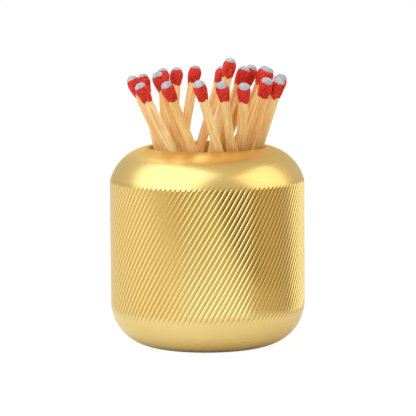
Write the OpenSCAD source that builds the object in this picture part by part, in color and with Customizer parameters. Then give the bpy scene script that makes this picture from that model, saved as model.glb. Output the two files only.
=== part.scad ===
// A squat turned brass pot filled with kitchen matches, heads up. Slanting grooves round its straight
// side make the striking band. The pot's axis is Z, its base is at z = 0 and the side that the picture
// shows faces -Y.

/* [Pot] */
// Diameter of the straight side
pot_d = 50; // [50:0.5:54]
// Height of the pot
pot_h = 51; // [50:0.5:53]
// Diameter of the flat that the pot stands on
foot_d = 32.6; // [31:0.2:34]
// Radius of the curve between the foot and the straight side
foot_round = 11.2; // [11:0.1:12]
// Radius of the shoulder above the straight side
shoulder_round = 11.6; // [11.4:0.1:12]
// Height at which the straight side meets the shoulder
side_top = 42; // [41.5:0.1:42.5]
// Bore of the well
well_d = 30; // [30:0.1:31]
// Height of the well's floor
well_floor = 14; // [13.5:0.1:14.5]
// Rounding of the well's edge
lip_round = 0.5; // [0.3:0.1:0.8]

/* [Striking band] */
// How many grooves run round the side
groove_n = 115; // [90:1:120]
// Depth of a groove
groove_depth = 0.22; // [0.15:0.01:0.3]
// Width of a groove at the surface
groove_w = 0.52; // [0.4:0.02:0.7]
// Slant of the grooves from the upright
groove_slant = 31; // [20:1:35]

/* [Matches] */
// Length of a match
match_len = 60; // [59:0.5:61]
// Side of the square splint
splint_w = 2.2; // [2.1:0.05:2.2]
// Length of the head with its pale tip
head_len = 5.1; // [4.6:0.1:5.6]
// Widest diameter of the head
head_d = 3.5; // [3.4:0.05:3.6]
// Height of the pale tip
tip_h = 1.1; // [0.8:0.1:1.4]
// Diameter of the pale tip where it meets the red
tip_d = 3; // [2.8:0.1:3.2]

/* [Hidden] */
$fn = 96;

// How each match stands, chosen by eye: its tip's place across and back from the axis, its lean in
// degrees, and the place across at which it leaves the well, where the picture shows that.
MATCHES = [
    [-20, 6, 29, -12],
    [-17.5, 8, 25, undef],
    [-17, -12, 29, -7],
    [-11.5, 14, 20, undef],
    [-8.5, 17.5, 24, undef],
    [-12.5, -8, 23, -4.5],
    [-9, -18, 27, -2.5],
    [-2, 18, 22, undef],
    [6.5, 6, 12, undef],
    [4, 19.5, 25, undef],
    [-2, -21, 29, 1],
    [1.5, -20.5, 29, 4.5],
    [12, 12, 21, undef],
    [13.5, 14, 21, undef],
    [16.5, 8, 23, undef],
    [17, 11.5, 22, undef],
    [20, 1, 26, undef],
    [19, -8, 29, 13.5],
    [10.5, -18, 29, 9],
    [15.5, -13.5, 29, 12.5],
];
match_n = len(MATCHES);

// Clearance round a splint's end in its head, and under a match's lowest corner
head_fit = 0.02;
floor_gap = 0.05;

pot_r = pot_d / 2;
foot_r = foot_d / 2;
well_r = well_d / 2;
// Centre of the foot's curve, which meets the side without a corner
foot_cr = pot_r - foot_round;
foot_cz = sqrt(pow(foot_round, 2) - pow(foot_r - foot_cr, 2));
// Centre of the shoulder's curve, which is level where it ends at the top
shoulder_cz = pot_h - shoulder_round;
shoulder_cr = pot_r - sqrt(pow(shoulder_round, 2) - pow(side_top - shoulder_cz, 2));
// Centre of the lip's rounding, which ends on the shoulder
lip_cr = well_r + lip_round;
lip_cz = shoulder_cz + sqrt(pow(shoulder_round, 2) - pow(lip_cr - shoulder_cr, 2)) - lip_round;

// The grooves run past both ends of the side, and fade out where the curves fall away from them
groove_z = [7, 44];
groove_steps = 8;
groove_run = groove_z[1] - groove_z[0];
groove_turn = groove_run * tan(groove_slant) / pot_r * 180 / PI;
// How far each cutting edge stands out from the side
groove_out = 0.3;

// Shares of a match's own sizes in its head
skin = 0.15;
sleeve_len = 0.3 * head_len;
widest_z = match_len - 0.53 * head_len;
splint_len = match_len - tip_h - 0.6;
head_slope = 12;

module pot_profile() {
    difference() {
        union() {
            square([foot_r, pot_h]);
            intersection() {
                translate([foot_cr, foot_cz]) circle(r = foot_round);
                square([pot_r + 1, foot_cz]);
            }
            translate([0, foot_cz]) square([pot_r, side_top - foot_cz]);
            intersection() {
                translate([shoulder_cr, shoulder_cz]) circle(r = shoulder_round);
                translate([0, side_top]) square([pot_r + 1, pot_h - side_top]);
            }
        }
        translate([-1, well_floor]) square([1 + well_r, pot_h]);
        difference() {
            translate([well_r - 1, lip_cz]) square([1 + lip_round, pot_h]);
            translate([lip_cr, lip_cz]) circle(r = lip_round);
        }
    }
}

// Outline of the band: one notch for each groove, in a ring that is wider than the pot
function band_outline() = [
    for (i = [0 : groove_n - 1], edge = [-1, 0, 1])
        let (
            out = edge == 0 ? -groove_depth : groove_out,
            half_w = groove_w / 2 * (groove_out + groove_depth) / groove_depth,
            at = 360 * i / groove_n + edge * half_w / pot_r * 180 / PI
        )
        (pot_r + out) * [cos(at), sin(at)]
];

module band() {
    translate([0, 0, groove_z[0]])
        linear_extrude(height = groove_run, twist = -groove_turn, slices = groove_steps)
            polygon(band_outline());
}

// The turned form starts its turn in the middle of a groove at the top of the side
module turned() {
    rotate(groove_turn * (side_top - groove_z[0]) / groove_run) rotate_extrude() pot_profile();
}

module pot() {
    color("gold") intersection() {
        turned();
        union() {
            band();
            translate([0, 0, -1]) cylinder(r = pot_r + 1, h = groove_z[0] + 1.5);
            translate([0, 0, groove_z[1] - 0.5]) cylinder(r = pot_r + 1, h = pot_h);
        }
    }
}

// A match stands between a place in the well's mouth and a place on its floor, kept together as
// [mouth x, mouth y, floor x, floor y]. All the splints have their sides along the same two
// directions, which are turned by this angle from X and Y.
grain_turn = 12;
grain_x = [cos(grain_turn), sin(grain_turn)];
grain_y = [-sin(grain_turn), cos(grain_turn)];
well_deep = pot_h - well_floor;
// How far a match's axis can go from the pot's axis in the well
reach = well_r - 0.78 * splint_w;
// Distance that two splints need between their axes at one height, first and last
splint_near = 1.15 * splint_w;
splint_clear = 1.34 * splint_w;
// Distance that two heads need, and the shares of the well's depth between which they stand at
// the usual leans
head_near = head_d + 0.2;
usual_lean = [20, 24];
head_share = (match_len - head_len) * cos(usual_lean[1]) / well_deep;
top_share = match_len * cos(usual_lean[0]) / well_deep;

// The matches start with this swirl from the radial direction and then make room for each other
swirl = 50;
steps = 120;
last_steps = 140;
ease = 0.35;
to_tip = 0.25;
to_lean = 0.25;

function start(m) =
    let (
        tip = [m[0], m[1]],
        at = atan2(-m[1], -m[0]) - swirl,
        foot = tip + match_len * sin(m[2]) * [cos(at), sin(at)],
        mouth = foot + (tip - foot) * well_deep / (match_len * cos(m[2]))
    )
    concat(mouth, foot);

// A step of one match out of another's way, at a share of the well's depth, along a direction
function make_room(share, lack, dir) =
    lack <= 0 ? [0, 0, 0, 0] :
    let (size = ease * lack / (pow(1 - share, 2) + pow(share, 2)))
    concat(dir * size * share, dir * size * (1 - share));

function splint_room(gap, share, need) =
    let (along = gap * grain_x, beside = gap * grain_y)
    abs(along) > abs(beside)
        ? make_room(share, need - abs(along), sign(along) * grain_x)
        : make_room(share, need - abs(beside), sign(beside) * grain_y);

function room(a, b, need) =
    let (
        mouth = [a[0] - b[0], a[1] - b[1]],
        foot = [a[2] - b[2], a[3] - b[3]],
        slide = foot - mouth,
        nearest = foot * slide / max(slide * slide, 0.001),
        low = max(0, min(head_share, nearest)),
        high = max(head_share, min(top_share, nearest)),
        low_gap = foot + (mouth - foot) * low,
        high_gap = foot + (mouth - foot) * high,
        high_size = norm(high_gap)
    )
    (norm(low_gap) > 1.5 * need ? [0, 0, 0, 0] : splint_room(low_gap, low, need))
    + (high_size > head_near ? [0, 0, 0, 0] : make_room(high, head_near - high_size, high_gap / high_size));

function within(place) = norm(place) > reach ? place * reach / norm(place) : place;

// One match after it has moved away from all the others and back towards where it should stand
function settle_one(places, i, need, hold) =
    let (
        pushed = places[i] + [for (j = [0 : match_n - 1]) 1]
            * [for (j = [0 : match_n - 1]) j == i ? [0, 0, 0, 0] : room(places[i], places[j], need)],
        m = MATCHES[i],
        mouth = [pushed[0], pushed[1]],
        foot = [pushed[2], pushed[3]],
        run = norm(mouth - foot),
        way = (mouth - foot) / run,
        tip = foot + way * match_len * sin(atan(run / well_deep)),
        miss = hold * to_tip * ([m[0], m[1]] - tip),
        longer = hold * to_lean * (well_deep * tan(m[2]) - run),
        side = is_undef(m[3]) ? 0 : hold * to_tip * (m[3] - mouth[0] - miss[0])
    )
    concat(within(mouth + miss + [side, 0]), within(foot + 0.3 * miss - way * longer));

function settle(places, left) =
    left == 0 ? places :
    let (last = left <= last_steps, need = last ? splint_clear : splint_near, hold = last ? 0 : 1)
    settle([for (i = [0 : match_n - 1]) settle_one(places, i, need, hold)], left - 1);

stand = settle([for (m = MATCHES) start(m)], steps + last_steps);

// Puts its children, made upright with the foot at the origin, where a match stands
module put_match(place) {
    run = [place[0] - place[2], place[1] - place[3]];
    lean = atan(norm(run) / well_deep);
    heading = atan2(run[1], run[0]);
    turn = grain_turn - heading;
    corner = splint_w / 2 * (abs(cos(turn)) + abs(sin(turn)));
    translate([place[2], place[3], well_floor])
        rotate([0, lean, heading])
            translate([0, 0, corner * tan(lean) + floor_gap / cos(lean)])
                rotate(turn)
                    children();
}

module upright_splint(w, from, to) {
    translate([-w / 2, -w / 2, from]) cube([w, w, to - from]);
}

module splint(i) {
    color("burlywood") put_match(stand[i])
        upright_splint(splint_w, 0, splint_len);
}

// Radius of the arc that swells from the tip's edge to the widest place
function swell_r() =
    let (up = match_len - tip_h - widest_z, out = (head_d - tip_d) / 2)
    (pow(up, 2) + pow(out, 2)) / (2 * out);

module head_profile() {
    low = match_len - head_len + sleeve_len / 2;
    intersection() {
        translate([head_d / 2 - swell_r(), widest_z]) circle(r = swell_r());
        translate([0, low]) square([head_d, match_len - tip_h - low]);
    }
}

module head(i) {
    low = match_len - head_len;
    color("firebrick") put_match(stand[i]) difference() {
        union() {
            rotate_extrude() head_profile();
            upright_splint(splint_w + 2 * skin, low, low + sleeve_len);
        }
        upright_splint(splint_w + 2 * head_fit, low - 1, splint_len + head_fit);
        translate([0, 0, low]) rotate([head_slope, head_slope, 0])
            translate([-head_d, -head_d, -head_len]) cube([2 * head_d, 2 * head_d, head_len]);
    }
}

module upright_tip() {
    tip_r = tip_d / 2;
    dome_r = (pow(tip_r, 2) + pow(tip_h, 2)) / (2 * tip_h);
    intersection() {
        translate([0, 0, match_len - dome_r]) sphere(r = dome_r);
        translate([0, 0, match_len - tip_h]) cylinder(r = tip_d, h = 2 * tip_h);
    }
}

module head_tips() {
    color("lightgray") for (place = stand) put_match(place) upright_tip();
}

// Name of a match's node, with its number in two digits
function match_name(kind, i) = str(kind, i < 9 ? "_0" : "_", i + 1);

pot();
head_tips();
for (i = [0 : match_n - 1]) splint(i);
for (i = [0 : match_n - 1]) head(i);
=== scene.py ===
import math

import bmesh
import bpy
from mathutils import Matrix, Vector, noise


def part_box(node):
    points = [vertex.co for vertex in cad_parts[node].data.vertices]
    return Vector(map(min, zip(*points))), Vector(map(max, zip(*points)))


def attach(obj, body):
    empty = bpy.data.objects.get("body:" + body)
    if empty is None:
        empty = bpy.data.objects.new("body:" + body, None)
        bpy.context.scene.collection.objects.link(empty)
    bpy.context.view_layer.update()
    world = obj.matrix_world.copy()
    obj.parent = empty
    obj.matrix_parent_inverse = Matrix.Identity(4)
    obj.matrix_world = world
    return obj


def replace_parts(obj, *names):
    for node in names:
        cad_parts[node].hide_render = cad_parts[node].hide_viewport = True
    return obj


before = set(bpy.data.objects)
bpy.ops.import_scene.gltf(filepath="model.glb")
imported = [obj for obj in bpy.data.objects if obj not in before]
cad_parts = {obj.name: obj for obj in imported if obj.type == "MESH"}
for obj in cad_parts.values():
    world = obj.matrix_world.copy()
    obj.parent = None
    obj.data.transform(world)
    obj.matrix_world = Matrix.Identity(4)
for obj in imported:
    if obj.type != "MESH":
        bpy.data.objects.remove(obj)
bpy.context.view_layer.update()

MM = 0.001


# The pot's radius and height come from its CAD box, and its curves and its well have the sizes of its source.
# Its grooves are shallower than the source cuts them and their walls are unequal, because the source's
# steeper walls mirrored each other in renders, which the photo doesn't show
pot_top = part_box("pot")[1]
POT_R = pot_top.x
POT_H = pot_top.z
FOOT_R = 16.3 * MM
FOOT_ROUND = 11.2 * MM
SHOULDER_ROUND = 11.6 * MM
SIDE_TOP = 42 * MM
WELL_R = 15 * MM
WELL_FLOOR = 14 * MM
LIP_ROUND = 0.5 * MM
GROOVES = 115
GROOVE_DEPTH = 0.14 * MM
GROOVE_SLANT = math.radians(31)
# How wide a groove's left and right walls are, as shares of the pitch. The left one faces right
GROOVE_WALLS = 0.38, 0.16

# How many matches there are, and a match's sizes, with heights along it from its foot
MATCHES = 20
MATCH_LEN = 60 * MM
SPLINT_W = 2.2 * MM
SPLINT_LEN = 58.3 * MM
HEAD_LOW = 54.9 * MM
TIP_LOW = 58.9 * MM
TIP_R = 1.43 * MM


def linear(red, green, blue):
    """A colour as it shows on a screen, 0 to 255, in Blender's linear values."""
    def channel(c):
        c /= 255
        return c / 12.92 if c <= 0.04045 else ((c + 0.055) / 1.055) ** 2.4
    return channel(red), channel(green), channel(blue), 1.0


def grey(value):
    return value, value, value, 1.0


# Materials

class Nodes:
    """A short way to make and join the shader nodes of a material or a world."""

    def __init__(self, owner, shader):
        owner.use_nodes = True
        self.owner = owner
        self.tree = owner.node_tree
        self.shader = self.tree.nodes[shader]

    def put(self, node, inputs):
        """Gives each input, by its name or number, a value or another node's output."""
        for key, value in inputs.items():
            if isinstance(value, bpy.types.NodeSocket):
                self.tree.links.new(value, node.inputs[key])
            else:
                node.inputs[key].default_value = value

    def add(self, kind, inputs, **settings):
        node = self.tree.nodes.new(kind)
        for name, value in settings.items():
            setattr(node, name, value)
        self.put(node, inputs)
        return node

    def coords(self, kind):
        return self.add("ShaderNodeTexCoord", {}).outputs[kind]

    def ramp(self, value, *stops):
        """A colour that goes from stop to stop with a value. Each stop is (value, colour)."""
        node = self.add("ShaderNodeValToRGB", {"Fac": value})
        ends = node.color_ramp.elements
        while len(ends) < len(stops):
            ends.new(0.5)
        for end, (place, colour) in zip(ends, stops):
            end.position = place
            end.color = colour
        return node.outputs["Color"]

    def fade(self, value, low, high, start=0.0, end=1.0):
        """A grey that goes from start to end as a value goes from low to high."""
        return self.ramp(value, (low, grey(start)), (high, grey(end)))

    def mix(self, share, a, b, blend="MIX"):
        inputs = {0: share, 6: a, 7: b}
        return self.add("ShaderNodeMix", inputs, data_type="RGBA", blend_type=blend).outputs[2]

    def stretched(self, vector, scale):
        return self.add("ShaderNodeMapping", {"Vector": vector, "Scale": scale}).outputs["Vector"]

    def noise(self, vector, cells, detail, rough=0.55):
        """Noise from 0 to 1, with so many cells in a unit of the vector."""
        inputs = {"Vector": vector, "Scale": cells, "Detail": detail, "Roughness": rough}
        return self.add("ShaderNodeTexNoise", inputs).outputs["Fac"]

    def streaks(self, uv, across, along, detail, rough=0.55):
        """Noise with so many cells in a unit of u and so many in a unit of v."""
        return self.noise(self.stretched(uv, (across, along, 1.0)), 1.0, detail, rough)

    def bump(self, height, strength, distance, under=None):
        """A bumpy normal, on top of another one if that is given."""
        inputs = {"Height": height, "Strength": strength, "Distance": distance}
        if under:
            inputs["Normal"] = under
        return self.add("ShaderNodeBump", inputs).outputs["Normal"]

    def share(self, value, low, high):
        """How far a value is on its way from low to high, from 0 to 1."""
        inputs = {"Value": value, "From Min": low, "From Max": high}
        return self.add("ShaderNodeMapRange", inputs).outputs["Result"]


def material_nodes(name):
    return Nodes(bpy.data.materials.new(name), "Principled BSDF")


# Brass: two tones that it drifts between, the tone in its turning marks, a painted highlight on the wall of a
# groove that faces left and painted shade on the wall that faces right, and a painted warm reflection of the
# matches round the mouth
BRASS = linear(242, 213, 135), linear(248, 221, 145)
TURNING_MARKS = linear(232, 197, 112)
PAINTED_HIGHLIGHT_WALL = linear(252, 232, 164)
PAINTED_SHADE_WALL = linear(214, 172, 88)
PAINTED_MOUTH_REFLECTION = linear(236, 190, 92)
# Shares of the pot's height between which the walls' painted highlight and shade come in, stay and go out
# again, and between which the painted reflection round the mouth comes in
BAND_LEVELS = 0.16, 0.19, 0.82, 0.85
MOUTH_LEVELS = 0.93, 0.98


def brass_material():
    """Satin turned brass: fine turning marks that run round the pot, a little tarnish, painted shade on the
    wall of each groove that faces right, a painted highlight on the wall that faces left, both walls
    smoother, and a painted warm reflection of the matches round the mouth. The pot's u is a share of a turn
    and its v is in metres, up its outline."""
    n = material_nodes("satin_brass")
    uv = n.coords("UV")
    marks = n.streaks(uv, 3.0, 1400.0, 3.0, 0.7)
    hairs = n.streaks(uv, 12.0, 4200.0, 2.0, 0.6)
    cloud = n.streaks(uv, 5.0, 14.0, 3.0)
    warm = n.mix(n.fade(cloud, 0.35, 0.7), *BRASS)
    colour = n.mix(n.fade(marks, 0.3, 0.75, 0.0, 0.2), warm, TURNING_MARKS)

    turns = n.add("ShaderNodeSeparateXYZ", {0: n.stretched(uv, (GROOVES, 1.0, 1.0))}).outputs["X"]
    pitch = n.add("ShaderNodeMath", {0: turns}, operation="FRACT").outputs[0]
    height = n.add("ShaderNodeSeparateXYZ", {0: n.coords("Object")}).outputs["Z"]
    level = n.share(height, 0.0, POT_H)
    band = n.ramp(level, *zip(BAND_LEVELS, map(grey, (0.0, 1.0, 1.0, 0.0))))
    left, right = GROOVE_WALLS
    # Masks of the painted highlight on each groove's wall that faces left and the painted shade on the wall
    # that faces right
    lit = n.mix(1.0, n.fade(pitch, right * 0.9, right * 1.1, 1.0, 0.0), band, "MULTIPLY")
    shaded = n.mix(1.0, n.fade(pitch, 1 - left * 1.1, 1 - left * 0.9), band, "MULTIPLY")
    colour = n.mix(lit, colour, PAINTED_HIGHLIGHT_WALL)
    colour = n.mix(shaded, colour, PAINTED_SHADE_WALL)
    # A painted warm reflection of the matches round the mouth
    colour = n.mix(n.fade(level, *MOUTH_LEVELS, end=0.35), colour, PAINTED_MOUTH_REFLECTION)

    rough = n.mix(n.mix(1.0, lit, shaded, "ADD"), n.fade(marks, 0.25, 0.8, 0.22, 0.29), grey(0.2))
    rough = n.mix(1.0, rough, n.fade(level, *MOUTH_LEVELS, end=0.16), "ADD")
    tangent = n.add("ShaderNodeTangent", {}, direction_type="RADIAL", axis="Z").outputs["Tangent"]
    normal = n.bump(marks, 0.07, 0.02 * MM, n.bump(hairs, 0.08, 0.015 * MM))
    n.put(n.shader, {"Base Color": colour, "Roughness": rough, "Metallic": 1.0, "Normal": normal})
    n.put(n.shader, {"Anisotropic": 0.55, "Tangent": tangent})
    return n.owner


# Wood: two tones that it drifts between, and the tones of its grain and its pores
WOOD = linear(255, 230, 164), linear(246, 200, 120)
GRAIN = linear(228, 160, 82)
PORES = linear(188, 110, 44)


def wood_material():
    """Pale aspen: long grain along the splint, darker pores, and a warmer tone here and there. A splint's u
    and v are in metres, round it and along it."""
    n = material_nodes("aspen_splint")
    uv = n.coords("UV")
    grain = n.streaks(uv, 2200.0, 90.0, 5.0, 0.65)
    pores = n.streaks(uv, 5200.0, 260.0, 3.0, 0.7)
    tone = n.streaks(uv, 160.0, 16.0, 2.0)
    base = n.mix(n.fade(tone, 0.35, 0.65), *WOOD)
    lines = n.mix(n.fade(grain, 0.42, 0.64, 0.0, 0.75), base, GRAIN)
    colour = n.mix(n.fade(pores, 0.56, 0.72, 0.0, 0.6), lines, PORES)
    rough = n.fade(grain, 0.3, 0.7, 0.55, 0.72)
    normal = n.bump(pores, 0.25, 0.04 * MM, n.bump(grain, 0.35, 0.06 * MM))
    n.put(n.shader, {"Base Color": colour, "Roughness": rough, "Normal": normal})
    n.put(n.shader, {"Subsurface Weight": 0.12, "Subsurface Scale": 0.6 * MM})
    return n.owner


def pitted(n, place):
    """Heights of a dried paste's skin: its grains, and small round holes that bubbles left here and there."""
    grains = n.noise(place, 2600.0, 4.0, 0.6)
    inputs = {"Vector": place, "Scale": 1300.0, "Randomness": 1.0}
    cells = n.add("ShaderNodeTexVoronoi", inputs, feature="F1").outputs["Distance"]
    some_places = n.fade(n.noise(place, 420.0, 1.0), 0.47, 0.53)
    return grains, n.mix(some_places, grey(1.0), n.fade(cells, 0.16, 0.32))


# Paste of the heads and of the pale tips: two tones that each drifts between, the painted shade in its
# bubbles' holes, and the tone of the red one's grains
RED = linear(214, 30, 14), linear(186, 18, 8)
RED_GRAINS = linear(242, 84, 54)
PAINTED_RED_HOLE_SHADE = linear(66, 5, 6)
PALE = linear(190, 192, 190), linear(160, 163, 163)
PAINTED_PALE_HOLE_SHADE = linear(132, 142, 148)


def head_material():
    n = material_nodes("red_paste")
    place = n.coords("Object")
    grains, holes = pitted(n, place)
    red = n.mix(n.fade(n.noise(place, 380.0, 3.0), 0.35, 0.68), *RED)
    speck = n.mix(n.fade(grains, 0.5, 0.64, 0.0, 0.85), red, RED_GRAINS)
    rough = n.fade(grains, 0.3, 0.7, 0.5, 0.68)
    normal = n.bump(holes, 0.9, 0.12 * MM, n.bump(grains, 0.8, 0.1 * MM))
    # The bubbles' holes get painted shade, a dark red
    n.put(n.shader, {"Base Color": n.mix(holes, PAINTED_RED_HOLE_SHADE, speck), "Roughness": rough, "Normal": normal})
    n.put(n.shader, {"Specular IOR Level": 0.3, "Subsurface Weight": 0.05, "Subsurface Scale": 0.3 * MM})
    return n.owner


def tip_material():
    n = material_nodes("pale_tip")
    place = n.coords("Object")
    grains, holes = pitted(n, place)
    pale = n.mix(n.fade(n.noise(place, 700.0, 3.0), 0.35, 0.65), *PALE)
    rough = n.fade(grains, 0.3, 0.7, 0.6, 0.8)
    normal = n.bump(holes, 0.4, 0.06 * MM, n.bump(grains, 0.5, 0.06 * MM))
    # The bubbles' holes get painted shade, a darker grey
    n.put(n.shader, {"Base Color": n.mix(holes, PAINTED_PALE_HOLE_SHADE, pale), "Roughness": rough, "Normal": normal})
    return n.owner


# Meshes

def add_object(name, data):
    obj = bpy.data.objects.new(name, data)
    bpy.context.scene.collection.objects.link(obj)
    return obj


def closed_skin(name, rings, material, u_shift=0.0):
    """An object whose skin joins rings of points and is closed at both ends. Each point is (place, u, v)."""
    bm = bmesh.new()
    layer = bm.loops.layers.uv.new("grain")
    points = [[bm.verts.new(place) for place, u, v in ring] for ring in rings]
    count = len(rings[0])
    for j in range(len(rings) - 1):
        for i in range(count):
            k = (i + 1) % count
            face = bm.faces.new((points[j][i], points[j][k], points[j + 1][k], points[j + 1][i]))
            face.smooth = True
            # Past a ring's last point u goes on by one more step, and doesn't fall back to its start
            u0 = rings[j][i][1]
            u1 = rings[j][k][1] if k else u0 * 2 - rings[j][i - 1][1]
            v0, v1 = rings[j][i][2], rings[j + 1][i][2]
            for loop, (u, v) in zip(face.loops, ((u0, v0), (u1, v0), (u1, v1), (u0, v1))):
                loop[layer].uv = (u + u_shift, v)
    bm.faces.new(list(reversed(points[0])))
    bm.faces.new(points[-1])
    bm.normal_update()
    mesh = bpy.data.meshes.new(name)
    bm.to_mesh(mesh)
    bm.free()
    mesh.materials.append(material)
    return add_object(name, mesh)


# How finely each stretch of the pot's outline and a groove's land are divided, and above what angle an edge
# is drawn sharp
FOOT_STEPS = 26
SIDE_STEPS = 34
SHOULDER_STEPS = 34
LIP_STEPS = 8
WELL_STEPS = 12
LAND_STEPS = 4
POT_SHARP = math.radians(12)
# Small sizes of the outline: the middle of each flat end, the edge of the foot's flat and the well's corner
MIDDLE_R = 0.2 * MM
FOOT_EDGE = 0.1 * MM
WELL_CORNER = 0.3 * MM


def arc(centre, radius, start, end, steps):
    """Points of an arc in the (radius, height) plane, from one angle to another in degrees."""
    for i in range(steps + 1):
        a = math.radians(start + (end - start) * i / steps)
        yield centre[0] + radius * math.cos(a), centre[1] + radius * math.sin(a)


def pot_curves():
    """Centres of the foot's, shoulder's and lip's curves, as the source of the CAD works them out."""
    foot_cr = POT_R - FOOT_ROUND
    foot_cz = math.sqrt(FOOT_ROUND ** 2 - (FOOT_R - foot_cr) ** 2)
    shoulder_cz = POT_H - SHOULDER_ROUND
    shoulder_cr = POT_R - math.sqrt(SHOULDER_ROUND ** 2 - (SIDE_TOP - shoulder_cz) ** 2)
    lip_cr = WELL_R + LIP_ROUND
    lip_cz = shoulder_cz + math.sqrt(SHOULDER_ROUND ** 2 - (lip_cr - shoulder_cr) ** 2) - LIP_ROUND
    return (foot_cr, foot_cz), (shoulder_cr, shoulder_cz), (lip_cr, lip_cz)


def pot_profile():
    """Outline of the pot from the middle of its base, up the outside, and down into the well."""
    foot, shoulder, lip = pot_curves()
    foot_start = -math.degrees(math.acos((FOOT_R - foot[0]) / FOOT_ROUND))
    side_end = math.degrees(math.asin((SIDE_TOP - shoulder[1]) / SHOULDER_ROUND))
    lip_end = math.degrees(math.acos((lip[0] - shoulder[0]) / SHOULDER_ROUND))
    side = SIDE_TOP - foot[1]
    well = WELL_FLOOR + WELL_CORNER - lip[1]
    points = [(MIDDLE_R, 0.0), (FOOT_R * 0.5, 0.0), (FOOT_R - FOOT_EDGE, 0.0)]
    points += list(arc(foot, FOOT_ROUND, foot_start, 0, FOOT_STEPS))
    points += [(POT_R, foot[1] + side * i / SIDE_STEPS) for i in range(1, SIDE_STEPS)]
    points += list(arc(shoulder, SHOULDER_ROUND, side_end, lip_end, SHOULDER_STEPS))
    points += list(arc(lip, LIP_ROUND, 90, 180, LIP_STEPS))[1:]
    points += [(WELL_R, lip[1] + well * i / WELL_STEPS) for i in range(1, WELL_STEPS + 1)]
    points += [(WELL_R - WELL_CORNER, WELL_FLOOR), (WELL_R * 0.5, WELL_FLOOR), (MIDDLE_R, WELL_FLOOR)]
    return points


def groove_phases():
    """Places across one groove and its land, as shares of the pitch, and how deep each one lies."""
    left, right = GROOVE_WALLS
    cut = [(-left, 0.0), (-left * 0.5, 0.5), (0.0, 1.0), (right * 0.5, 0.5), (right, 0.0)]
    land = [(right + (1 - left - right) * i / LAND_STEPS, 0.0) for i in range(1, LAND_STEPS)]
    return cut + land


def make_pot(material):
    """The turned pot with every groove cut into its skin, along edges that follow the slant. A groove runs
    out by itself where the foot's and the shoulder's curves pass inside its depth."""
    phases = groove_phases()
    profile = pot_profile()
    rings = []
    length = 0.0
    for before, (radius, height) in zip(profile[:1] + profile, profile):
        length += math.dist(before, (radius, height))
        turn = height * math.tan(GROOVE_SLANT) / POT_R
        ring = []
        for groove in range(GROOVES):
            for place, depth in phases:
                share = (groove + place) / GROOVES
                angle = share * 2 * math.pi + turn
                r = min(radius, POT_R - depth * GROOVE_DEPTH)
                ring.append((Vector((r * math.cos(angle), r * math.sin(angle), height)), share, length))
        rings.append(ring)
    pot = closed_skin("brass_pot", rings, material)
    pot.data.set_sharp_from_angle(angle=POT_SHARP)
    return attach(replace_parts(pot, "pot"), "root")


def match_frame(node):
    """Where a match stands, from its splint's CAD box: z along it from the middle of its foot, x and y out of
    its sides."""
    mesh = node.data
    centre = sum((v.co for v in mesh.vertices), Vector()) / len(mesh.vertices)
    faces = sorted(((p.center - centre).dot(p.normal), tuple(p.normal)) for p in mesh.polygons)
    half, up = faces[-1]
    up = Vector(up)
    if up.z < 0:
        up = -up
    side = Vector(faces[0][1])
    side = (side - up * side.dot(up)).normalized()
    across = up.cross(side)
    place = Matrix((side, across, up)).transposed().to_4x4()
    place.translation = centre - up * half
    return place


# A splint's skin: how round its corners are, its rings, above what angle an edge is drawn sharp, and how far
# its grain lies from the next splint's
SPLINT_CORNER = 0.09 * MM
SPLINT_STEPS = 56
SPLINT_SHARP = math.radians(50)
GRAIN_SHIFT = 0.37
# How far a splint bows, how deep its furrows and chips are as shares of the way out from its middle, the
# length of each, and the height of the noise above which there are chips
BOW = 0.05 * MM
FURROW, CHIP = 0.012, 0.05
BOW_LEN, FURROW_LEN, CHIP_LEN = 22 * MM, 9 * MM, 1.6 * MM
CHIPS_ABOVE = 0.35


def square_outline(half, corner):
    """A square's outline with small round corners, as (x, y) points, 24 in all."""
    flat = half - corner
    for quarter in range(4):
        turn = Matrix.Rotation(quarter * math.pi / 2, 2)
        for t in (-0.6, 0.0, 0.6):
            yield turn @ Vector((half, t * flat))
        for degrees in (0, 45, 90):
            a = math.radians(degrees)
            yield turn @ Vector((flat + corner * math.cos(a), flat + corner * math.sin(a)))


def waver(*place):
    """Smooth noise from -1 to 1. Each match has places of its own in it, through multiples of its number."""
    return noise.noise(Vector(place))


def make_splint(i, place, material):
    """A sawn splint: it bows a little, and its faces have long shallow furrows and short chips."""
    outline = list(square_outline(SPLINT_W / 2, SPLINT_CORNER))
    rings = []
    for j in range(SPLINT_STEPS + 1):
        z = SPLINT_LEN * j / SPLINT_STEPS
        bow = BOW * waver(z / BOW_LEN, i * 3.1, 0)
        ring = []
        for k, p in enumerate(outline):
            furrow = waver(k * 1.7, z / FURROW_LEN, i * 7.3)
            chip = max(0.0, waver(k * 0.9, z / CHIP_LEN, i * 5.7) - CHIPS_ABOVE)
            q = p * (1 - FURROW * (furrow + 1) - CHIP * chip)
            ring.append((place @ Vector((q.x + bow, q.y + bow * 0.5, z)), k * 4 * SPLINT_W / len(outline), z))
        rings.append(ring)
    splint = closed_skin("aspen_splint_%02d" % (i + 1), rings, material, i * GRAIN_SHIFT)
    splint.data.set_sharp_from_angle(angle=SPLINT_SHARP)
    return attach(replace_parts(splint, "splint_%02d" % (i + 1)), "root")


# Rows up the red head, from its lower edge into its tip: how far up as a share, half its width in
# millimetres, and how square it is, where 2 is round
HEAD_ROWS = ((0.0, 1.08, 12), (0.02, 1.2, 9), (0.08, 1.27, 8), (0.22, 1.36, 5.5), (0.4, 1.52, 4),
             (0.58, 1.66, 3), (0.74, 1.7, 2.6), (0.87, 1.61, 2.4), (0.95, 1.49, 2.2), (1.0, 1.36, 2.1))
HEAD_AROUND, HEAD_STEPS = 40, 30
TIP_AROUND, TIP_STEPS = 36, 12
# How much closer the head's rings lie near its lower edge, where 1 is not at all
HEAD_CROWDING = 1.15
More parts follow.
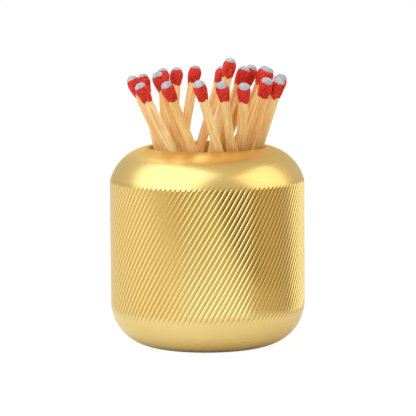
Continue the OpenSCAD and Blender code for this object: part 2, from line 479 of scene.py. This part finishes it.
# How ragged the head's lower edge is, how high its lumps and grains are, how long a lump is, by what share of
# the way up they have their full height, and how far the head reaches into the tip
HEAD_RAGGED = 0.75 * MM
HEAD_LUMPS = 0.07 * MM
HEAD_GRAINS = 0.03 * MM
LUMP_LEN = 1.1 * MM
LUMPS_FULL = 0.125
HEAD_LAP = 0.1 * MM
# The tip's dome, in degrees from its lower edge to its middle, how uneven its edge is, and how lumpy it is
TIP_START, TIP_END = -14, 88
TIP_UNEVEN = 0.16 * MM
TIP_LUMPS = 0.03


def ways_round(count):
    """Directions round a match, as unit vectors."""
    for k in range(count):
        angle = 2 * math.pi * k / count
        yield Vector((math.cos(angle), math.sin(angle), 0))


def head_row(t):
    """Half width and squareness of the red head, at a share of the way up it."""
    low, high = next(pair for pair in zip(HEAD_ROWS, HEAD_ROWS[1:]) if pair[1][0] >= t)
    f = (t - low[0]) / (high[0] - low[0])
    half, power = (a + (b - a) * f for a, b in zip(low[1:], high[1:]))
    return half * MM, power


def rounded_square(half, power, way):
    """Radius in one direction of a shape between a circle (power 2) and a square (a high power)."""
    return half / (abs(way.x) ** power + abs(way.y) ** power) ** (1 / power)


def make_head(i, place, material):
    """The dipped head: square where the paste thins out on the wood, round and lumpy above."""
    rings = []
    for j in range(HEAD_STEPS + 1):
        t = (j / HEAD_STEPS) ** HEAD_CROWDING
        half, power = head_row(t)
        ring = []
        for k, way in enumerate(ways_round(HEAD_AROUND)):
            waves = waver(*(way * 1.4 + Vector((0, 0, i * 4.7))))
            ripples = waver(*(way * 4.5 + Vector((i * 2.3, 0, 0))))
            low = HEAD_LOW + HEAD_RAGGED * (waves + 0.5 * ripples)
            z = low + (TIP_LOW + HEAD_LAP - low) * t
            spot = way * 1.5 + Vector((0, 0, z / LUMP_LEN + i * 9.1))
            lump = HEAD_LUMPS * waver(*spot) + HEAD_GRAINS * waver(*(spot * 3.2))
            r = rounded_square(half, power, way) + lump * min(1.0, t / LUMPS_FULL)
            ring.append((place @ (way * r + Vector((0, 0, z))), k / HEAD_AROUND, z))
        rings.append(ring)
    head = closed_skin("red_head_%02d" % (i + 1), rings, material)
    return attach(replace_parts(head, "head_%02d" % (i + 1)), "root")


def make_tip(i, place, material):
    """The pale second dip on a head's end, a low dome with a slightly uneven edge."""
    rings = []
    for j in range(TIP_STEPS + 1):
        rise = math.radians(TIP_START + (TIP_END - TIP_START) * j / TIP_STEPS)
        ring = []
        for k, way in enumerate(ways_round(TIP_AROUND)):
            edge = TIP_UNEVEN * waver(*(way * 1.6 + Vector((i * 3.3, 0, 5)))) * math.cos(max(rise, 0))
            lump = 1 + TIP_LUMPS * waver(*(way * 2.1 + Vector((0, i * 6.1, rise))))
            r = TIP_R * math.cos(rise) * lump
            z = TIP_LOW + edge + (MATCH_LEN - TIP_LOW) * math.sin(rise)
            ring.append((place @ (way * r + Vector((0, 0, z))), k / TIP_AROUND, z))
        rings.append(ring)
    return closed_skin("pale_tip_%02d" % (i + 1), rings, material)


def join(parts, name):
    """One object from several that share a material."""
    bm = bmesh.new()
    for part in parts:
        bm.from_mesh(part.data)
    mesh = bpy.data.meshes.new(name)
    bm.to_mesh(mesh)
    bm.free()
    mesh.materials.append(parts[0].data.materials[0])
    for part in parts:
        bpy.data.objects.remove(part)
    return add_object(name, mesh)


def make_matches():
    wood, red, pale = wood_material(), head_material(), tip_material()
    tips = []
    for i in range(MATCHES):
        place = match_frame(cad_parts["splint_%02d" % (i + 1)])
        make_splint(i, place, wood)
        make_head(i, place, red)
        tips.append(make_tip(i, place, pale))
    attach(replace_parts(join(tips, "pale_tips"), "head_tips"), "root")


# Camera, floor and light

# How far off the camera is, how far it looks down, its roll, its lens and sensor, and the point it looks at
CAMERA_DISTANCE = 0.7
CAMERA_PITCH = math.radians(7.0)
CAMERA_ROLL = math.radians(-0.39)
CAMERA_LENS = 235.3
CAMERA_SENSOR = 36
CAMERA_NEAR = 0.01
AIM = Vector((0.0002, 0, 0.0349))
# Edges of the sheet of paper that the pot stands on: left, right, front and behind
PAPER = -3.0, 0.062, -0.16, 3.0
PAPER_DROP = 0.02 * MM
# How much of the paper that the camera sees is plain white, and how bright that white is
WHITE_SHARE = 0.92
WHITE_LIGHT = 1.04
# How bright the studio's walls are to matt surfaces
STUDIO_LEVEL = 0.78
# The way in which the studio shows brightest in the brass: up, and a little to the back and the left
LIT_SIDE = Vector((-0.25, 0.3, 1.2))
# What the brass mirrors there and in the other directions. Each is a place from the far side, 0, to the lit
# one, 1, and the tone there: dim and warm below, past the paper's edges, and pale above
STUDIO_TONES = ((0.15, (0.15, 0.09, 0.02, 1)), (0.235, (0.58, 0.43, 0.16, 1)),
                (0.34, (0.4, 0.3, 0.12, 1)), (0.58, (0.62, 0.56, 0.46, 1)))
LAMP_TARGET = Vector((0, 0, 0.035))


def make_camera():
    data = bpy.data.cameras.new("camera")
    data.lens = CAMERA_LENS
    data.sensor_width = CAMERA_SENSOR
    data.clip_start = CAMERA_NEAR
    camera = add_object("camera", data)
    back = Vector((0, -math.cos(CAMERA_PITCH), math.sin(CAMERA_PITCH)))
    turn = Matrix.Rotation(math.pi / 2 - CAMERA_PITCH, 4, "X") @ Matrix.Rotation(CAMERA_ROLL, 4, "Z")
    camera.matrix_world = Matrix.Translation(AIM + back * CAMERA_DISTANCE) @ turn
    bpy.context.scene.camera = camera


def floor_material():
    """White paper that the camera sees close to pure white, with the object's soft shadow on it. The brass
    shows the same paper as the lamps light it."""
    n = material_nodes("floor")
    n.put(n.shader, {"Base Color": grey(0.82), "Roughness": 0.9})
    lit = n.shader.outputs[0]
    by_camera = n.add("ShaderNodeLightPath", {}).outputs["Is Camera Ray"]
    white = n.add("ShaderNodeEmission", {"Color": grey(1.0), "Strength": WHITE_LIGHT}).outputs[0]
    seen = n.add("ShaderNodeMixShader", {0: WHITE_SHARE, 1: lit, 2: white}).outputs[0]
    shown = n.add("ShaderNodeMixShader", {0: by_camera, 1: lit, 2: seen}).outputs[0]
    n.put(n.tree.nodes["Material Output"], {"Surface": shown})
    return n.owner


def make_floor():
    left, right, front, behind = PAPER
    corners = [(left, front, 0), (right, front, 0), (right, behind, 0), (left, behind, 0)]
    mesh = bpy.data.meshes.new("floor")
    mesh.from_pydata(corners, [], [(0, 1, 2, 3)])
    mesh.materials.append(floor_material())
    floor = add_object("floor", mesh)
    floor.location.z = -PAPER_DROP


def make_world():
    """A plain studio: white to the camera, and in the brass bright above and dim past the paper's edges."""
    n = Nodes(bpy.data.worlds.new("studio"), "Background")
    bpy.context.scene.world = n.owner
    rays = n.add("ShaderNodeLightPath", {}).outputs
    inputs = {0: n.coords("Generated"), 1: LIT_SIDE}
    towards = n.add("ShaderNodeVectorMath", inputs, operation="DOT_PRODUCT").outputs["Value"]
    in_brass = n.ramp(n.share(towards, -1.0, 1.0), *STUDIO_TONES)
    colour = n.mix(rays["Is Glossy Ray"], grey(STUDIO_LEVEL), in_brass)
    n.put(n.shader, {"Color": n.mix(rays["Is Camera Ray"], colour, grey(1.0))})


def softbox(name, azimuth, elevation, distance, size, strength, colour, roll=0):
    """A soft lamp that faces the pot. Azimuth 0 is at the camera's side and 90 to its right. Its power grows
    with its area, so that its size changes how soft it is and not how bright it looks."""
    data = bpy.data.lights.new(name, "AREA")
    data.shape = "RECTANGLE"
    data.size, data.size_y = size
    data.color = colour
    data.energy = strength * math.pi * size[0] * size[1]
    lamp = add_object(name, data)
    a, e = math.radians(azimuth), math.radians(elevation)
    away = Vector((math.sin(a) * math.cos(e), -math.cos(a) * math.cos(e), math.sin(e)))
    facing = away.to_track_quat("Z", "Y").to_matrix().to_4x4()
    turn = facing @ Matrix.Rotation(math.radians(roll), 4, "Z")
    lamp.matrix_world = Matrix.Translation(LAMP_TARGET + away * distance) @ turn


def make_lights():
    softbox("left_softbox", azimuth=-58, elevation=42, distance=0.6, size=(1.0, 0.85), strength=1.35,
            colour=(0.73, 0.82, 1.0), roll=10)
    softbox("right_softbox", azimuth=83, elevation=33, distance=0.6, size=(0.6, 0.48), strength=0.88,
            colour=(1.0, 0.93, 0.82))
    softbox("top_softbox", azimuth=-158, elevation=61, distance=0.8, size=(0.44, 0.36), strength=1.15,
            colour=(1.0, 0.93, 0.86))


bpy.context.scene.view_settings.view_transform = "Standard"
make_pot(brass_material())
make_matches()
make_camera()
make_floor()
make_world()
make_lights()
